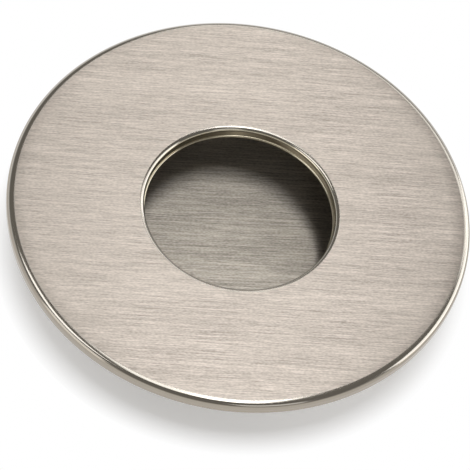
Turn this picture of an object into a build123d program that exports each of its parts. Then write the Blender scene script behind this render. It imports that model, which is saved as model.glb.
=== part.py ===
"""Round flush pull: a pressed face plate with a turned-down rim, carrying a drawn cup behind its opening.

The door surface is the plane z = 0 and the face looks along +Z. Sizes are in millimetres.
"""

import os

from build123d import *

# Face plate
plate_diameter = 90.0
opening_diameter = 37.0
plate_sheet = 0.7
rim_height = 2.4
rim_inside_bend = 0.5
rim_edge_break = 0.15
collar_depth = 2.6
collar_inside_bend = 0.2
collar_edge_round = 0.3

# Cup, wider than the opening so that fingertips can hook behind the collar
plate_overlap = 13.0
cup_sheet = 0.7
cup_reach = 12.0
floor_inside_bend = 1.2
flange_width = 6.0
flange_inside_bend = 0.2
flange_edge_break = 0.15

# Widest break or round of a cut sheet edge, as a share of the sheet
widest_break = 0.45

# Levels and radii that follow from the sizes above
plate_radius = plate_diameter / 2
opening_radius = opening_diameter / 2
plate_back = rim_height - plate_sheet
collar_end = rim_height - collar_depth
cup_radius = plate_radius - plate_overlap
mouth_radius = cup_radius - cup_sheet
cup_floor = cup_sheet - cup_reach
flange_radius = cup_radius + flange_width

# The plate's shown surface runs up the collar, out over the face and down the rim, with the sheet behind it.
with BuildPart() as face_plate:
    with BuildSketch(Plane.XZ):
        with BuildLine():
            FilletPolyline(
                (opening_radius, collar_end),
                (opening_radius, rim_height),
                (plate_radius, rim_height),
                (plate_radius, 0),
                radius=[collar_inside_bend + plate_sheet, rim_inside_bend + plate_sheet],
            )
            offset(amount=plate_sheet, side=Side.RIGHT)
        make_face()
        rim_foot = edges().filter_by(Axis.X).sort_by(SortBy.LENGTH)[:2].sort_by(Axis.X)[-1]
        chamfer(rim_foot.vertices(), min(rim_edge_break, widest_break * plate_sheet))
        collar_lip = vertices().sort_by(Axis.X)[:2].sort_by(Axis.Y)[0]
        fillet(collar_lip, min(collar_edge_round, widest_break * plate_sheet))
    revolve(axis=Axis.Z)

# The cup's inside runs in along the flange, down the wall and across the floor, with the sheet outside it.
with BuildPart() as cup:
    with BuildSketch(Plane.XZ):
        with BuildLine():
            FilletPolyline(
                (flange_radius, plate_back),
                (mouth_radius, plate_back),
                (mouth_radius, cup_floor),
                (0, cup_floor),
                radius=[flange_inside_bend + cup_sheet, floor_inside_bend],
            )
            offset(amount=cup_sheet, side=Side.LEFT)
        make_face()
        flange_end = edges().filter_by(Axis.Y).sort_by(Axis.X)[-1]
        chamfer(flange_end.vertices(), min(flange_edge_break, widest_break * cup_sheet))
    revolve(axis=Axis.Z)

os.makedirs("parts", exist_ok=True)
face_plate.part.label = "face_plate"
export_step(face_plate.part, "parts/face_plate.step")
cup.part.label = "cup"
export_step(cup.part, "parts/cup.step")
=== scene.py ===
"""Round flush pull in warm brushed nickel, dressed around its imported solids.

The face plate and the cup are turned skins, each with its own finishes.
The stage is a pale floor under soft lamps.
"""

import math
from typing import NamedTuple

import bmesh
import bpy
from bpy.props import FloatProperty, FloatVectorProperty, IntProperty, PointerProperty
from bpy.types import Operator, Panel, PropertyGroup
from mathutils import Matrix, Vector


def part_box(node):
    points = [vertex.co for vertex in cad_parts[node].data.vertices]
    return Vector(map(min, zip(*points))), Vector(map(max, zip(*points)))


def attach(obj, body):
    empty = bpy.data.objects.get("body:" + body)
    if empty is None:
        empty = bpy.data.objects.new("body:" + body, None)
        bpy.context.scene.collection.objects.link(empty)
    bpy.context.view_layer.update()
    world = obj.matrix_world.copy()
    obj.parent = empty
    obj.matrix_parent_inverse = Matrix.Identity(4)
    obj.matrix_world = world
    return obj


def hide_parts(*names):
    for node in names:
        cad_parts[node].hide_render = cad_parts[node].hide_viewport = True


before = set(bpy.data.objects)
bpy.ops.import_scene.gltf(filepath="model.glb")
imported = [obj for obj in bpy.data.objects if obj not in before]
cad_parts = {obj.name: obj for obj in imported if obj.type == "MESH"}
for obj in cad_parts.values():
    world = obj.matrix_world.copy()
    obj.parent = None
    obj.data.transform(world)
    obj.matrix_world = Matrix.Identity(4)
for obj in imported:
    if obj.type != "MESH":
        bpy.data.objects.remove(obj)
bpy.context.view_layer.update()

bl_info = {
    "name": "Flush Pull",
    "version": (1, 0, 0),
    "blender": (4, 5, 0),
    "location": "View3D > Sidebar > Flush Pull",
    "description": "Builds a round brushed flush pull around its packed solids",
    "category": "Add Mesh",
}

MM = 0.001
PLATE_LOW, PLATE_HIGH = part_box("face_plate")
CUP_LOW, CUP_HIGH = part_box("cup")

# Mesh layers that hold the direction of the brushing, and how far each point is brushed
GRAIN_UV = "grain"
BRUSHED = "brushed"


def length(name, description, default):
    """A property that holds a length in metres."""
    return FloatProperty(
        name=name, description=description, default=default, precision=5, subtype="DISTANCE", unit="LENGTH"
    )


def tint(name, description, default):
    """A property that holds a linear colour."""
    return FloatVectorProperty(
        name=name, description=description, default=default, size=3, min=0.0, max=1.0, subtype="COLOR"
    )


def turn_angle(name, description, degrees):
    """A property that holds an angle."""
    return FloatProperty(
        name=name, description=description, default=math.radians(degrees), subtype="ANGLE", unit="ROTATION"
    )


def amount(name, description, default):
    """A property that holds a brightness, where one shows as white."""
    return FloatProperty(name=name, description=description, default=default, min=0.0)


class FlushPullSizes(PropertyGroup):
    """Sizes of the face plate and the cup."""

    plate_radius: length("Plate Radius", "Outer radius of the face plate", PLATE_HIGH.x)
    face_level: length("Face Level", "Height of the face above the door", PLATE_HIGH.z)
    plate_sheet: length("Plate Sheet", "Thickness of the plate's sheet", PLATE_HIGH.z - CUP_HIGH.z)
    rim_bend: length("Rim Bend", "Outside radius of the turned-down rim", 1.2 * MM)
    fall_width: length("Fall Width", "Width of the brushed strip that falls towards the rim", 2.4 * MM)
    fall_tilt: turn_angle("Fall Tilt", "Slope of the face at the outside of that strip", 1.5)
    rim_edge: length("Rim Edge", "Width of the smooth edge between the face and the rim's bend", 0.7 * MM)
    lip_edge: length("Lip Edge", "Width of the smooth edge between the face and the collar's bend", 0.35 * MM)
    edge_tilt: turn_angle("Edge Tilt", "Slope of a smooth edge where the bend begins", 18.0)
    rim_break: length("Rim Break", "Break on the cut edge at the rim's foot", 0.15 * MM)
    opening_radius: length("Opening Radius", "Radius of the finger opening", 18.5 * MM)
    collar_bend: length("Collar Bend", "Outside radius of the bend into the collar", 0.9 * MM)
    collar_back_bend: length("Collar Back Bend", "Radius of that bend at the back of the sheet", 0.2 * MM)
    collar_end: length("Collar End", "Height of the collar's lower edge", PLATE_LOW.z)
    collar_round: length("Collar Round", "Round on the collar's lower edge", 0.3 * MM)
    collar_bead: length("Collar Bead", "How far that round stands into the opening", 0.25 * MM)
    mouth_radius: length("Mouth Radius", "Inside radius of the cup", 31.3 * MM)
    cup_sheet: length("Cup Sheet", "Thickness of the cup's sheet", 0.7 * MM)
    cup_back: length("Cup Back", "Height of the cup's flat back", CUP_LOW.z)
    floor_bend: length("Floor Bend", "Inside radius between the cup's wall and floor", 1.2 * MM)
    flange_radius: length("Flange Radius", "Outer radius of the cup's flange", CUP_HIGH.x)
    flange_level: length("Flange Level", "Height of the flange's upper side", CUP_HIGH.z)
    flange_bend: length("Flange Bend", "Inside radius of the bend into the flange", 0.2 * MM)
    flange_break: length("Flange Break", "Break on the flange's cut edge", 0.15 * MM)
    segments: IntProperty(
        name="Segments", description="Steps around each turned piece", default=384, min=32, max=720
    )


class FlushPullFinish(PropertyGroup):
    """Colours and grain of the nickel."""

    face_light: tint("Face Light", "Light lines of the brushed face", (0.675, 0.605, 0.541))
    face_dark: tint("Face Dark", "Dark lines of the brushed face", (0.37, 0.33, 0.292))
    # The floor's light and dark lines are its real grain; both are tinted darker than the face's as painted
    # shade of the recessed floor
    floor_light_with_painted_shade: tint("Floor Light", "Light lines of the cup's brushed floor", (0.57, 0.522, 0.457))
    floor_dark_with_painted_shade: tint("Floor Dark", "Dark lines of the cup's brushed floor", (0.23, 0.211, 0.182))
    smooth: tint("Smooth", "Smooth edges of the face", (0.52, 0.487, 0.435))
    # Outside of the rim: darker than the smooth nickel as painted shade, standing in for the reflection of
    # the floor's shadow
    side: tint("Side", "Outside of the rim", (0.39, 0.35, 0.295))
    # Inside of the collar: lighter and warmer than the smooth nickel as a painted reflection of the cup's lit
    # floor
    collar: tint("Collar", "Inside of the collar", (0.60, 0.55, 0.43))
    wall: tint("Wall", "Drawn wall of the cup", (0.62, 0.57, 0.50))
    back: tint("Back", "Plain mill finish at the back", (0.52, 0.49, 0.45))
    face_turn: turn_angle("Face Turn", "Turn of the face's brushing away from X", 1.0)
    floor_turn: turn_angle("Floor Turn", "Turn of the cup's brushing away from X", 2.0)
    grain_width: length("Grain Width", "Width of a brushed line on the face", 0.17 * MM)
    grain_length: length("Grain Length", "Length of a brushed line on the face", 12.0 * MM)
    floor_grain_width: length("Floor Grain Width", "Width of a brushed line on the cup's floor", 0.2 * MM)
    floor_grain_length: length("Floor Grain Length", "Length of a brushed line on the cup's floor", 12.0 * MM)


class FlushPullStudio(PropertyGroup):
    """Camera, floor and lamps."""

    azimuth: turn_angle("Azimuth", "Turn of the camera and the lamps about the pull's axis", -9.9)
    elevation: turn_angle("Elevation", "Angle at which the camera looks down on the face", 55.05)
    roll: turn_angle("Roll", "Turn of the camera about its own line of sight", 12.53)
    distance: length("Distance", "From the camera to the middle of the face", 828.9 * MM)
    lens: FloatProperty(name="Lens", description="Focal length in millimetres", default=329.9, min=1.0)
    centre_right: length("Centre Right", "How far right of the picture's centre the face lies", 0.99 * MM)
    centre_up: length("Centre Up", "How far above the picture's centre the face lies", 5.26 * MM)
    key: amount("Key", "Brightness of the lamp above", 4.45)
    broad: amount("Broad", "Brightness of the softer lamp beside the key", 1.75)
    front: amount("Front", "Brightness of the lamp at the right of the camera", 0.7)
    left: amount("Left", "Brightness of the high lamp at the left", 2.0)
    right: amount("Right", "Brightness of the upright lamp at the right", 1.6)
    far: amount("Far", "Brightness of the lamp at the back", 1.3)
    low_left: amount("Low Left", "Brightness of the low lamp at the left of the camera", 1.0)
    floor_glow: amount("Floor Glow", "Share of the floor's white that no shadow takes away", 0.23)


# Steps round a bend that shows, round a hidden one, along a sloping edge and while the brushing dies out
SHOWN_STEPS = 28
HIDDEN_STEPS = 8
EDGE_STEPS = 8
FADE_STEPS = 4

# Directions of an outline in degrees, and where the rim's and the collar's bend change their finish
OUT, UP, IN, DOWN = 0.0, 90.0, 180.0, 270.0
FULL_TURN = 360.0
RIM_SIDE = 45.0
COLLAR_SIDE = 135.0

# Sides towards which a strip of the face falls, and the slope of the flat that it starts from
TO_RIM, TO_OPENING = 1, -1
FLAT = 0.0

# Width of the narrow strip of a flat beside its edge, which keeps the shading of the flat even
HOLD = 0.1 * MM

# Order of the materials on the face plate and on the cup
FACE, SMOOTH, PAINTED_SHADE_SIDE, PAINTED_REFLECTION_COLLAR, BACK = range(5)
FLOOR_WITH_PAINTED_SHADE, WALL, CUP_BACK = range(3)


class Station(NamedTuple):
    """A point of an outline, the finish of the strip that follows it, and how far the point is brushed."""

    radius: float
    level: float
    finish: int
    brushed: float = 0.0


def bend(centre, radius, start, end, steps, finish):
    """Stations round an arc, by angles in degrees from outwards towards upwards."""
    stations = []
    for step in range(steps + 1):
        angle = math.radians(start + (end - start) * step / steps)
        stations.append(
            Station(centre[0] + radius * math.cos(angle), centre[1] + radius * math.sin(angle), finish)
        )
    return stations


def fade_brushing(stations, finish):
    """The same stations with the brushing dying out over the first few, which take the brushed finish."""
    faded = []
    for step, station in enumerate(stations):
        if step < FADE_STEPS:
            station = station._replace(brushed=1.0 - step / FADE_STEPS, finish=finish)
        faded.append(station)
    return faded


def fall(width, first_tilt, last_tilt):
    """How far a strip falls whose slope grows evenly from one tilt to another."""
    return width * (math.tan(first_tilt) + math.tan(last_tilt)) / 2


def falling_strip(end, side, level, width, first_tilt, last_tilt, finish):
    """Stations of such a strip of the face, which starts at a level and ends at a radius."""
    stations = []
    for step in range(EDGE_STEPS):
        share = step / EDGE_STEPS
        steeper = math.tan(first_tilt) + (math.tan(last_tilt) - math.tan(first_tilt)) * share
        drop = fall(width * share, first_tilt, math.atan(steeper))
        stations.append(Station(end - side * width * (1 - share), level - drop, finish, brushed=1.0))
    return stations


def smooth_edge(end, side, level, width, first_tilt, last_tilt):
    """Stations of a smooth edge of the face, over whose first half the brushing dies out."""
    strip = falling_strip(end, side, level, width, first_tilt, last_tilt, SMOOTH)
    return fade_brushing([station._replace(brushed=0.0) for station in strip], FACE)


def turned_back(stations):
    """The same stations in the opposite order, with each strip's finish kept."""
    finishes = [station.finish for station in stations]
    finishes = [*finishes[-2::-1], finishes[0]]
    return [station._replace(finish=finish) for station, finish in zip(stations[::-1], finishes)]


def rim_stations(sizes):
    """Outer part of the plate's shown side: the face's fall, the smooth edge and the rim's bend."""
    edge_level = sizes.face_level - fall(sizes.fall_width, FLAT, sizes.fall_tilt)
    bend_level = edge_level - fall(sizes.rim_edge, sizes.fall_tilt, sizes.edge_tilt)
    centre = (
        sizes.plate_radius - sizes.rim_bend,
        bend_level - sizes.rim_bend * math.cos(sizes.edge_tilt),
    )
    start = UP - math.degrees(sizes.edge_tilt)
    upper = bend(centre, sizes.rim_bend, start, RIM_SIDE, SHOWN_STEPS, SMOOTH)
    lower = bend(centre, sizes.rim_bend, RIM_SIDE, OUT, SHOWN_STEPS, PAINTED_SHADE_SIDE)
    edge = smooth_edge(
        upper[0].radius, TO_RIM, edge_level, sizes.rim_edge, sizes.fall_tilt, sizes.edge_tilt
    )
    strip = falling_strip(
        edge[0].radius, TO_RIM, sizes.face_level, sizes.fall_width, FLAT, sizes.fall_tilt, FACE
    )
    return strip + edge + upper + lower[1:]


def collar_stations(sizes):
    """Inner part of the plate's shown side: the smooth edge, the collar's bend and the bead at its end."""
    bend_level = sizes.face_level - fall(sizes.lip_edge, FLAT, sizes.edge_tilt)
    centre = (
        sizes.opening_radius + sizes.collar_bend,
        bend_level - sizes.collar_bend * math.cos(sizes.edge_tilt),
    )
    start = UP + math.degrees(sizes.edge_tilt)
    upper = bend(centre, sizes.collar_bend, start, COLLAR_SIDE, SHOWN_STEPS, SMOOTH)
    lower = bend(centre, sizes.collar_bend, COLLAR_SIDE, IN, SHOWN_STEPS, PAINTED_REFLECTION_COLLAR)
    edge = smooth_edge(
        upper[0].radius, TO_OPENING, sizes.face_level, sizes.lip_edge, FLAT, sizes.edge_tilt
    )
    bead_centre = (
        sizes.opening_radius - sizes.collar_bead + sizes.collar_round,
        sizes.collar_end + sizes.collar_round,
    )
    bead_start = math.degrees(math.acos((sizes.collar_bead - sizes.collar_round) / sizes.collar_round))
    bead = bend(bead_centre, sizes.collar_round, bead_start, DOWN, SHOWN_STEPS, PAINTED_REFLECTION_COLLAR)
    return edge + upper + lower[1:] + bead


def plate_outline(sizes):
    """Outline of the face plate, from the collar over the face to the rim's foot and back behind it."""
    rim = rim_stations(sizes)
    collar = collar_stations(sizes)
    inner_rim = sizes.plate_radius - sizes.plate_sheet
    rim_back = (sizes.plate_radius - sizes.rim_bend, sizes.face_level - sizes.rim_bend)
    collar_back = (
        sizes.opening_radius + sizes.plate_sheet + sizes.collar_back_bend,
        sizes.face_level - sizes.plate_sheet - sizes.collar_back_bend,
    )

    outline = turned_back(collar)
    outline.append(collar[0]._replace(radius=collar[0].radius + HOLD))
    outline.append(rim[0]._replace(radius=rim[0].radius - HOLD))
    outline += rim
    outline.append(Station(sizes.plate_radius, sizes.rim_break, PAINTED_SHADE_SIDE))
    outline.append(Station(sizes.plate_radius - sizes.rim_break, 0.0, BACK))
    outline.append(Station(inner_rim + sizes.rim_break, 0.0, BACK))
    outline.append(Station(inner_rim, sizes.rim_break, BACK))
    outline += bend(rim_back, sizes.rim_bend - sizes.plate_sheet, OUT, UP, HIDDEN_STEPS, BACK)
    outline += bend(collar_back, sizes.collar_back_bend, UP, IN, HIDDEN_STEPS, BACK)
    outline.append(Station(sizes.opening_radius + sizes.plate_sheet, sizes.collar_end, PAINTED_REFLECTION_COLLAR))
    return outline


def cup_outline(sizes):
    """Outline of the cup, from the middle of its floor up the wall, round the flange and back underneath."""
    floor_level = sizes.cup_back + sizes.cup_sheet
    floor_centre = (sizes.mouth_radius - sizes.floor_bend, floor_level + sizes.floor_bend)
    floor_outer = sizes.floor_bend + sizes.cup_sheet
    flange_outer = sizes.flange_bend + sizes.cup_sheet
    flange_centre = (sizes.mouth_radius + flange_outer, sizes.flange_level - flange_outer)
    flange_under = sizes.flange_level - sizes.cup_sheet
    below = DOWN - FULL_TURN

    outline = [Station(0.0, floor_level, FLOOR_WITH_PAINTED_SHADE, brushed=1.0)]
    outline.append(Station(floor_centre[0] - HOLD, floor_level, FLOOR_WITH_PAINTED_SHADE, brushed=1.0))
    outline += fade_brushing(bend(floor_centre, sizes.floor_bend, below, OUT, SHOWN_STEPS, WALL), FLOOR_WITH_PAINTED_SHADE)
    outline += bend(flange_centre, flange_outer, IN, UP, SHOWN_STEPS, WALL)
    outline.append(Station(sizes.flange_radius - sizes.flange_break, sizes.flange_level, CUP_BACK))
    outline.append(Station(sizes.flange_radius, sizes.flange_level - sizes.flange_break, CUP_BACK))
    outline.append(Station(sizes.flange_radius, flange_under + sizes.flange_break, CUP_BACK))
    outline.append(Station(sizes.flange_radius - sizes.flange_break, flange_under, CUP_BACK))
    outline += bend(flange_centre, sizes.flange_bend, UP, IN, HIDDEN_STEPS, CUP_BACK)
    outline += bend(floor_centre, floor_outer, OUT, below, HIDDEN_STEPS, CUP_BACK)
    outline.append(Station(floor_centre[0] - HOLD, sizes.cup_back, CUP_BACK))
    outline.append(Station(0.0, sizes.cup_back, CUP_BACK))
    return outline


# Edges that turn by more than this are shaded as sharp
SHARP_ANGLE = math.radians(30.0)


def turned_mesh(name, outline, segments, closed):
    """A mesh turned about the pull's axis from an outline, with its finishes and how far it is brushed."""
    vertices = []
    brushing = []
    rings = []
    for station in outline:
        count = segments if station.radius > 0 else 1
        rings.append(range(len(vertices), len(vertices) + count))
        for step in range(count):
            angle = 2 * math.pi * step / segments
            vertices.append(
                (station.radius * math.cos(angle), station.radius * math.sin(angle), station.level)
            )
            brushing.append(station.brushed)
    faces = []
    finishes = []
    strips = len(outline) if closed else len(outline) - 1
    for strip in range(strips):
        ring, after = rings[strip], rings[(strip + 1) % len(outline)]
        for step in range(segments):
            turn = (step + 1) % segments
            corners = [
                ring[step % len(ring)],
                ring[turn % len(ring)],
                after[turn % len(after)],
                after[step % len(after)],
            ]
            # A strip that meets the axis is made of triangles, so a corner that comes twice is left out
            faces.append(list(dict.fromkeys(corners)))
            finishes.append(outline[strip].finish)
    mesh = bpy.data.meshes.new(name)
    mesh.from_pydata(vertices, [], faces)
    mesh.polygons.foreach_set("material_index", finishes)
    mesh.polygons.foreach_set("use_smooth", [True] * len(faces))
    mesh.attributes.new(BRUSHED, "FLOAT", "POINT").data.foreach_set("value", brushing)
    shell = bmesh.new()
    shell.from_mesh(mesh)
    bmesh.ops.recalc_face_normals(shell, faces=shell.faces)
    shell.to_mesh(mesh)
    shell.free()
    mesh.set_sharp_from_angle(angle=SHARP_ANGLE)
    return mesh


def lay_grain(mesh, width, grain_turn):
    """Flat coordinates seen from above, turned so that they run along and across the brushing."""
    grain = mesh.uv_layers.new(name=GRAIN_UV)
    along, across = Matrix.Rotation(grain_turn, 2).col
    for loop in mesh.loops:
        place = mesh.vertices[loop.vertex_index].co.xy
        grain.data[loop.index].uv = (place.dot(along) / width + 0.5, place.dot(across) / width + 0.5)


def turned_piece(name, outline, segments, materials, grain_turn, closed):
    """An object turned about the pull's axis from an outline, with its grain and its materials."""
    mesh = turned_mesh(name, outline, segments, closed)
    lay_grain(mesh, 2 * max(station.radius for station in outline), grain_turn)
    for material in materials:
        mesh.materials.append(material)
    piece = bpy.data.objects.new(name, mesh)
    bpy.context.scene.collection.objects.link(piece)
    return piece


def input_socket(node, key):
    """A node's input by its name, with underscores for spaces, or by its number, as in i0."""
    if key[0] == "i" and key[1:].isdigit():
        return node.inputs[int(key[1:])]
    return node.inputs[key.replace("_", " ")]


def add_node(tree, kind, settings=None, **inputs):
    """A node with its settings, and its inputs set to values or linked to sockets."""
    made = tree.nodes.new(kind)
    for key, value in (settings or {}).items():
        setattr(made, key, value)
    for key, value in inputs.items():
        socket = input_socket(made, key)
        if isinstance(value, bpy.types.NodeSocket):
            tree.links.new(value, socket)
        else:
            socket.default_value = value
    return made


def math_node(tree, operation, first, second):
    """The value of a two-sided sum."""
    return add_node(tree, "ShaderNodeMath", {"operation": operation}, i0=first, i1=second).outputs[0]


def multiplied(tree, place, factors):
    """A place multiplied by a factor along each axis."""
    settings = {"operation": "MULTIPLY"}
    return add_node(tree, "ShaderNodeVectorMath", settings, i0=place, i1=factors).outputs[0]


def mix_colour(tree, share, first, second):
    """The colour between two colours."""
    settings = {"data_type": "RGBA"}
    return add_node(tree, "ShaderNodeMix", settings, i0=share, i6=first, i7=second).outputs[2]


def mix_value(tree, share, first, second):
    """The value between two values."""
    return add_node(tree, "ShaderNodeMix", {"data_type": "FLOAT"}, i0=share, i2=first, i3=second).outputs[0]


def spread(tree, value, low, high):
    """A value stretched from low and high to nothing and one."""
    settings = {"clamp": True}
    return add_node(
        tree, "ShaderNodeMapRange", settings, Value=value, From_Min=low, From_Max=high
    ).outputs["Result"]


class LineLayer(NamedTuple):
    """A layer of the brushing: how much shorter and narrower its lines are, its noise and its share."""

    shorter: float
    narrower: float
    detail: float
    roughness: float = 0.5
    share: float = 1.0


GRAIN_GROUP = "Brushed Grain"
LONG_LINES = LineLayer(shorter=1.0, narrower=1.0, detail=2.0, roughness=0.6)
SHORT_LINES = LineLayer(shorter=4.0, narrower=1.3, detail=1.0, share=0.38)
FLECKS = LineLayer(shorter=22.0, narrower=0.9, detail=0.0, share=0.22)
BANDS = LineLayer(shorter=0.1, narrower=0.12, detail=2.0, share=0.13)
SCRATCHES = LineLayer(shorter=0.8, narrower=0.8, detail=0.0)

# Values of the noise at which a line is wholly dark and wholly light, and a scratch begins and is full
DARK_LINE = 0.375
LIGHT_LINE = 0.625
SCRATCH_START = 0.68
SCRATCH_FULL = 0.80


def line_noise(tree, place, layer):
    """The noise of one layer of the brushing."""
    finer = multiplied(tree, place, (layer.shorter, layer.narrower, layer.narrower))
    return add_node(
        tree, "ShaderNodeTexNoise", Vector=finer, Scale=1.0, Detail=layer.detail, Roughness=layer.roughness
    ).outputs[0]


def grain_group():
    """The straight brushing as a group: fine lines, longer bands and a few single scratches, along X."""
    if GRAIN_GROUP in bpy.data.node_groups:
        return bpy.data.node_groups[GRAIN_GROUP]
    tree = bpy.data.node_groups.new(GRAIN_GROUP, "ShaderNodeTree")
    tree.interface.new_socket("Vector", in_out="INPUT", socket_type="NodeSocketVector")
    for name in ("Line Width", "Line Length"):
        tree.interface.new_socket(name, in_out="INPUT", socket_type="NodeSocketFloat")
    for name in ("Lines", "Scratches"):
        tree.interface.new_socket(name, in_out="OUTPUT", socket_type="NodeSocketFloat")
    given = tree.nodes.new("NodeGroupInput").outputs
    across = math_node(tree, "DIVIDE", 1.0, given["Line Width"])
    along = math_node(tree, "DIVIDE", 1.0, given["Line Length"])
    scale = add_node(tree, "ShaderNodeCombineXYZ", X=along, Y=across, Z=across).outputs[0]
    place = multiplied(tree, given["Vector"], scale)
    mixed = line_noise(tree, place, LONG_LINES)
    for layer in (SHORT_LINES, FLECKS, BANDS):
        mixed = mix_value(tree, layer.share, mixed, line_noise(tree, place, layer))
    lines = spread(tree, mixed, DARK_LINE, LIGHT_LINE)
    scratches = spread(tree, line_noise(tree, place, SCRATCHES), SCRATCH_START, SCRATCH_FULL)
    given_out = tree.nodes.new("NodeGroupOutput").inputs
    tree.links.new(lines, given_out["Lines"])
    tree.links.new(scratches, given_out["Scratches"])
    return tree


class PlainFinish(NamedTuple):
    """Roughness of an unbrushed finish, and how far and over what size its colour wanders."""

    roughness: float
    mottle: float
    mottle_size: float


SMOOTH_FINISH = PlainFinish(roughness=0.13, mottle=0.04, mottle_size=3 * MM)
WALL_FINISH = PlainFinish(roughness=0.22, mottle=0.10, mottle_size=2.5 * MM)
BACK_FINISH = PlainFinish(roughness=0.42, mottle=0.15, mottle_size=6 * MM)

# Noise of a plain finish, where its colour is darkest and lightest, and how that changes its roughness
MOTTLE_DETAIL = 4.0
MOTTLE_NOISE_ROUGHNESS = 0.6
MOTTLE_DARK = 0.3
MOTTLE_LIGHT = 0.7
DARK_ROUGHER = 1.2
LIGHT_SMOOTHER = 0.9

# Roughness of a brushed finish, how its lines change it, and how far a scratch darkens it
BRUSHED_ROUGHNESS = 0.333
DARK_LINE_ROUGHER = 0.05
LIGHT_LINE_SMOOTHER = 0.03
SCRATCH_DARKNESS = 0.35

# Highlights are drawn out as far as they go, across the brushed lines
HIGHLIGHT_STRETCH = 1.0
HIGHLIGHT_TURN = 0.25

# How metallic the face and the cup's floor are
FACE_METALLIC = 1.0
FLOOR_METALLIC = 0.88

# Depth of the lines and of a plain finish's unevenness, and how strongly each shows
BUMP_DEPTH = 0.02 * MM
LINE_BUMP = 0.05
MOTTLE_BUMP = 0.04


def new_material(name):
    """A material with its node tree and its Principled BSDF."""
    material = bpy.data.materials.new(name)
    material.use_nodes = True
    return material, material.node_tree, material.node_tree.nodes["Principled BSDF"]


def rgba(colour):
    """A colour with full cover."""
    return (*colour, 1.0)


def brushed_material(name, light, dark, smooth, line_width, line_length, grain_turn, metallic):
    """Nickel with straight brushing where the piece is brushed, and smooth where the brushing dies out."""
    material, tree, shader = new_material(name)
    place = add_node(tree, "ShaderNodeTexCoord").outputs["Object"]
    place = add_node(
        tree, "ShaderNodeVectorRotate", {"rotation_type": "Z_AXIS"}, Vector=place, Angle=-grain_turn
    ).outputs[0]
    grain = add_node(
        tree,
        "ShaderNodeGroup",
        {"node_tree": grain_group()},
        Vector=place,
        Line_Width=line_width,
        Line_Length=line_length,
    )
    lines, scratches = grain.outputs["Lines"], grain.outputs["Scratches"]
    brushed = add_node(tree, "ShaderNodeAttribute", {"attribute_name": BRUSHED}).outputs["Fac"]
    lined = mix_colour(tree, lines, rgba(dark), rgba(light))
    scratched = mix_colour(tree, math_node(tree, "MULTIPLY", scratches, SCRATCH_DARKNESS), lined, rgba(dark))
    colour = mix_colour(tree, brushed, rgba(smooth), scratched)
    tree.links.new(colour, shader.inputs["Base Color"])
    dark_rough = BRUSHED_ROUGHNESS + DARK_LINE_ROUGHER
    light_rough = BRUSHED_ROUGHNESS - LIGHT_LINE_SMOOTHER
    grain_rough = mix_value(tree, lines, dark_rough, light_rough)
    roughness = mix_value(tree, brushed, SMOOTH_FINISH.roughness, grain_rough)
    tree.links.new(roughness, shader.inputs["Roughness"])
    height = math_node(tree, "MULTIPLY", lines, brushed)
    bump = add_node(tree, "ShaderNodeBump", Strength=LINE_BUMP, Distance=BUMP_DEPTH, Height=height)
    tree.links.new(bump.outputs[0], shader.inputs["Normal"])
    tangent = add_node(tree, "ShaderNodeTangent", {"direction_type": "UV_MAP", "uv_map": GRAIN_UV})
    tree.links.new(tangent.outputs[0], shader.inputs["Tangent"])
    shader.inputs["Metallic"].default_value = metallic
    shader.inputs["Anisotropic"].default_value = HIGHLIGHT_STRETCH
    shader.inputs["Anisotropic Rotation"].default_value = HIGHLIGHT_TURN
    return material


def plain_nickel_material(name, colour, finish):
    """Unbrushed nickel whose colour and roughness wander a little."""
    material, tree, shader = new_material(name)
    place = add_node(tree, "ShaderNodeTexCoord").outputs["Object"]
    noise = add_node(
        tree,
        "ShaderNodeTexNoise",
        Vector=place,
        Scale=1.0 / finish.mottle_size,
        Detail=MOTTLE_DETAIL,
        Roughness=MOTTLE_NOISE_ROUGHNESS,
    ).outputs[0]
    wander = spread(tree, noise, MOTTLE_DARK, MOTTLE_LIGHT)
    darker = tuple(channel * (1.0 - finish.mottle) for channel in colour)
    tree.links.new(mix_colour(tree, wander, rgba(darker), rgba(colour)), shader.inputs["Base Color"])
    dark_rough = finish.roughness * DARK_ROUGHER
    light_rough = finish.roughness * LIGHT_SMOOTHER
    tree.links.new(mix_value(tree, wander, dark_rough, light_rough), shader.inputs["Roughness"])
    bump = add_node(tree, "ShaderNodeBump", Strength=MOTTLE_BUMP, Distance=BUMP_DEPTH, Height=noise)
    tree.links.new(bump.outputs[0], shader.inputs["Normal"])
    shader.inputs["Metallic"].default_value = 1.0
    return material


class FLUSHPULL_OT_face_plate(Operator):
    """Build the face plate with its rim and collar"""

    bl_idname = "flush_pull.face_plate"
    bl_label = "Face Plate"

    def execute(self, context):
        sizes, finish = context.scene.flush_pull_sizes, context.scene.flush_pull_finish
        brushed_face = brushed_material(
            "brushed_face",
            light=finish.face_light,
            dark=finish.face_dark,
            smooth=finish.smooth,
            line_width=finish.grain_width,
            line_length=finish.grain_length,
            grain_turn=finish.face_turn,
            metallic=FACE_METALLIC,
        )
        materials = [
            brushed_face,
            plain_nickel_material("smooth_edge", finish.smooth, SMOOTH_FINISH),
            # The rim's outside takes the darker nickel, painted shade for the reflected shadow of the floor
            plain_nickel_material("rim_side_painted_shade", finish.side, SMOOTH_FINISH),
            # The collar takes the lighter nickel, a painted reflection of the lit floor of the cup
            plain_nickel_material("smooth_collar_painted_reflection", finish.collar, SMOOTH_FINISH),
            plain_nickel_material("plate_back", finish.back, BACK_FINISH),
        ]
        plate = turned_piece(
            "face_plate_skin", plate_outline(sizes), sizes.segments, materials, finish.face_turn, closed=True
        )
        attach(plate, "root")
        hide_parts("face_plate")
        return {"FINISHED"}


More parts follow.
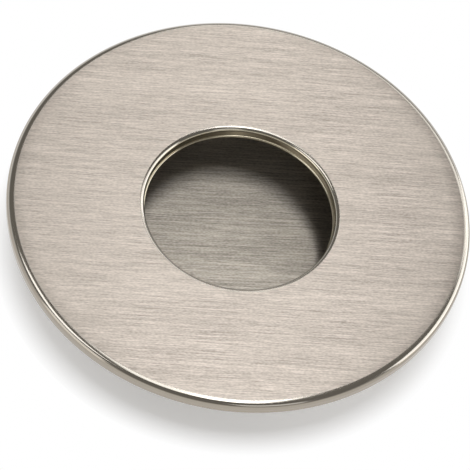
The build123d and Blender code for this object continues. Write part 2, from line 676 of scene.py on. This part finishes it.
class FLUSHPULL_OT_cup(Operator):
    """Build the drawn cup behind the opening"""

    bl_idname = "flush_pull.cup"
    bl_label = "Cup"

    def execute(self, context):
        sizes, finish = context.scene.flush_pull_sizes, context.scene.flush_pull_finish
        # The cup's floor is brushed like the face, with colours darkened as painted shade of the recess
        brushed_floor_with_painted_shade = brushed_material(
            "brushed_floor_with_painted_shade",
            light=finish.floor_light_with_painted_shade,
            dark=finish.floor_dark_with_painted_shade,
            smooth=finish.wall,
            line_width=finish.floor_grain_width,
            line_length=finish.floor_grain_length,
            grain_turn=finish.floor_turn,
            metallic=FLOOR_METALLIC,
        )
        materials = [
            brushed_floor_with_painted_shade,
            plain_nickel_material("drawn_wall", finish.wall, WALL_FINISH),
            plain_nickel_material("cup_back", finish.back, BACK_FINISH),
        ]
        cup = turned_piece(
            "cup_skin", cup_outline(sizes), sizes.segments, materials, finish.floor_turn, closed=False
        )
        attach(cup, "root")
        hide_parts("cup")
        return {"FINISHED"}


# Half the floor's width, how far from the axis it keeps the shadow, and over what width it then turns white
FLOOR_HALF = 2.5
SHADOW_REACH = 0.0415
SHADOW_FADE = 0.0055
FLOOR_COLOUR = (0.93, 0.93, 0.93)

# Upward share of a line of sight up to which the room is white, and from which it is dim
ROOM_WHITE_TO = 0.05
ROOM_DIM_FROM = 0.45
ROOM_WHITE = (1.0, 1.0, 1.0)
ROOM_DIM = (0.2, 0.19, 0.175)


class Lamp(NamedTuple):
    """A lamp's name, its brightness property, where it hangs, what it faces and its size, in metres.

    Places are to the right, away and up, as seen from the camera's side.
    """

    name: str
    brightness: str
    place: tuple
    aim: tuple
    width: float
    height: float


LAMPS = (
    Lamp("key_lamp", "key", place=(0.0875, 0.13, 1.0), aim=(0.0875, 0.13, 0.0), width=0.185, height=0.44),
    Lamp("broad_lamp", "broad", place=(-0.11, 0.1, 1.0), aim=(-0.11, 0.1, 0.0), width=0.22, height=0.5),
    Lamp("front_lamp", "front", place=(0.7, -1.2, 1.0), aim=(0.0, 0.0, 0.0), width=0.7, height=0.7),
    Lamp("left_lamp", "left", place=(-0.75, -0.1, 1.0), aim=(-0.75, -0.1, 0.0), width=0.5, height=0.8),
    Lamp("right_lamp", "right", place=(1.22, 0.53, 0.62), aim=(0.0, 0.0, 0.62), width=1.7, height=1.16),
    Lamp("far_lamp", "far", place=(0.3, 1.2, 1.0), aim=(0.0, 0.0, 0.0), width=1.2, height=0.6),
    Lamp(
        "low_left_lamp", "low_left", place=(-1.15, -0.8, 0.42), aim=(0.0, 0.0, 0.42), width=0.8, height=0.84
    ),
)


def floor_material(glow):
    """Pale floor that keeps the pull's shadow, turns plain white further out and is clear from below."""
    material, tree, shader = new_material("pale_floor")
    tree.nodes.remove(shader)
    out = tree.nodes["Material Output"]
    matte = add_node(tree, "ShaderNodeBsdfDiffuse", Color=rgba(FLOOR_COLOUR)).outputs[0]
    lit = add_node(tree, "ShaderNodeEmission", Strength=glow).outputs[0]
    white = add_node(tree, "ShaderNodeEmission", Strength=1.0).outputs[0]
    clear = add_node(tree, "ShaderNodeBsdfTransparent").outputs[0]
    path = add_node(tree, "ShaderNodeLightPath").outputs
    seen = math_node(tree, "MAXIMUM", path["Is Camera Ray"], path["Is Glossy Ray"])
    seen = math_node(tree, "MAXIMUM", seen, path["Is Transmission Ray"])
    place = add_node(tree, "ShaderNodeTexCoord").outputs["Object"]
    reach = add_node(tree, "ShaderNodeVectorMath", {"operation": "LENGTH"}, i0=place).outputs["Value"]
    outside = spread(tree, reach, SHADOW_REACH, SHADOW_REACH + SHADOW_FADE)
    shadowed = add_node(tree, "ShaderNodeAddShader", i0=matte, i1=lit).outputs[0]
    shown = add_node(tree, "ShaderNodeMixShader", i0=outside, i1=shadowed, i2=white).outputs[0]
    top = add_node(tree, "ShaderNodeMixShader", i0=seen, i1=matte, i2=shown).outputs[0]
    behind = add_node(tree, "ShaderNodeNewGeometry").outputs["Backfacing"]
    whole = add_node(tree, "ShaderNodeMixShader", i0=behind, i1=top, i2=clear).outputs[0]
    tree.links.new(whole, out.inputs["Surface"])
    return material


def pale_floor(level, glow):
    """A square floor at a level under the pull."""
    mesh = bpy.data.meshes.new("floor")
    corners = [(-1, -1), (1, -1), (1, 1), (-1, 1)]
    mesh.from_pydata([(x * FLOOR_HALF, y * FLOOR_HALF, 0.0) for x, y in corners], [], [(0, 1, 2, 3)])
    mesh.materials.append(floor_material(glow))
    floor = bpy.data.objects.new("floor", mesh)
    floor.location.z = level
    bpy.context.scene.collection.objects.link(floor)
    return floor


def soft_panel(lamp, turn, brightness):
    """A rectangular lamp of an even brightness, hidden from the camera itself."""
    light = bpy.data.lights.new(lamp.name, "AREA")
    light.shape = "RECTANGLE"
    light.size = lamp.width
    light.size_y = lamp.height
    light.energy = brightness * math.pi * lamp.width * lamp.height
    panel = bpy.data.objects.new(lamp.name, light)
    look = (Vector(lamp.aim) - Vector(lamp.place)).to_track_quat("-Z", "Y").to_matrix().to_4x4()
    panel.matrix_world = turn @ Matrix.Translation(lamp.place) @ look
    panel.visible_camera = False
    bpy.context.scene.collection.objects.link(panel)


def studio_world():
    """A room that is white at the horizon and dim above it."""
    world = bpy.data.worlds.new("studio_room")
    world.use_nodes = True
    tree = world.node_tree
    background = tree.nodes["Background"]
    direction = add_node(tree, "ShaderNodeTexCoord").outputs["Generated"]
    up = add_node(tree, "ShaderNodeSeparateXYZ", Vector=direction).outputs["Z"]
    height = spread(tree, up, ROOM_WHITE_TO, ROOM_DIM_FROM)
    colour = mix_colour(tree, height, rgba(ROOM_WHITE), rgba(ROOM_DIM))
    tree.links.new(colour, background.inputs["Color"])
    bpy.context.scene.world = world


def photo_camera(studio, face):
    """The camera at the photograph's viewing angle."""
    back = Vector(
        (
            math.sin(studio.azimuth) * math.cos(studio.elevation),
            -math.cos(studio.azimuth) * math.cos(studio.elevation),
            math.sin(studio.elevation),
        )
    )
    sideways = Vector((math.cos(studio.azimuth), math.sin(studio.azimuth), 0.0))
    upright = back.cross(sideways)
    right = math.cos(studio.roll) * sideways + math.sin(studio.roll) * upright
    up = back.cross(right)
    place = face + back * studio.distance - right * studio.centre_right - up * studio.centre_up
    data = bpy.data.cameras.new("photo_camera")
    data.lens = studio.lens
    camera = bpy.data.objects.new("photo_camera", data)
    turn = Matrix((right, up, back)).transposed().to_4x4()
    camera.matrix_world = Matrix.Translation(place) @ turn
    bpy.context.scene.collection.objects.link(camera)
    bpy.context.scene.camera = camera


class FLUSHPULL_OT_stage(Operator):
    """Set the floor, the lamps, the room and the camera"""

    bl_idname = "flush_pull.stage"
    bl_label = "Stage"

    def execute(self, context):
        sizes, studio = context.scene.flush_pull_sizes, context.scene.flush_pull_studio
        floor = pale_floor(sizes.cup_back, studio.floor_glow)
        turn = Matrix.Rotation(studio.azimuth, 4, "Z")
        for lamp in LAMPS:
            soft_panel(lamp, turn, getattr(studio, lamp.brightness))
        studio_world()
        photo_camera(studio, Vector((0.0, 0.0, sizes.face_level)))
        context.scene.view_settings.view_transform = "Standard"
        return {"FINISHED"}


class FLUSHPULL_PT_panel(Panel):
    """Steps that build the flush pull"""

    bl_idname = "FLUSHPULL_PT_panel"
    bl_label = "Flush Pull"
    bl_space_type = "VIEW_3D"
    bl_region_type = "UI"
    bl_category = "Flush Pull"

    def draw(self, context):
        for step in STEPS:
            self.layout.operator(step.bl_idname)


STEPS = (FLUSHPULL_OT_face_plate, FLUSHPULL_OT_cup, FLUSHPULL_OT_stage)
GROUPS = (FlushPullSizes, FlushPullFinish, FlushPullStudio)


def register():
    """Add the classes, and the settings to the scene."""
    for item in (*GROUPS, *STEPS, FLUSHPULL_PT_panel):
        bpy.utils.register_class(item)
    bpy.types.Scene.flush_pull_sizes = PointerProperty(type=FlushPullSizes)
    bpy.types.Scene.flush_pull_finish = PointerProperty(type=FlushPullFinish)
    bpy.types.Scene.flush_pull_studio = PointerProperty(type=FlushPullStudio)


def unregister():
    """Take the settings and the classes away again."""
    del bpy.types.Scene.flush_pull_studio
    del bpy.types.Scene.flush_pull_finish
    del bpy.types.Scene.flush_pull_sizes
    for item in reversed((*GROUPS, *STEPS, FLUSHPULL_PT_panel)):
        bpy.utils.unregister_class(item)


def main():
    register()
    bpy.ops.flush_pull.face_plate()
    bpy.ops.flush_pull.cup()
    bpy.ops.flush_pull.stage()


if __name__ == "__main__":
    main()
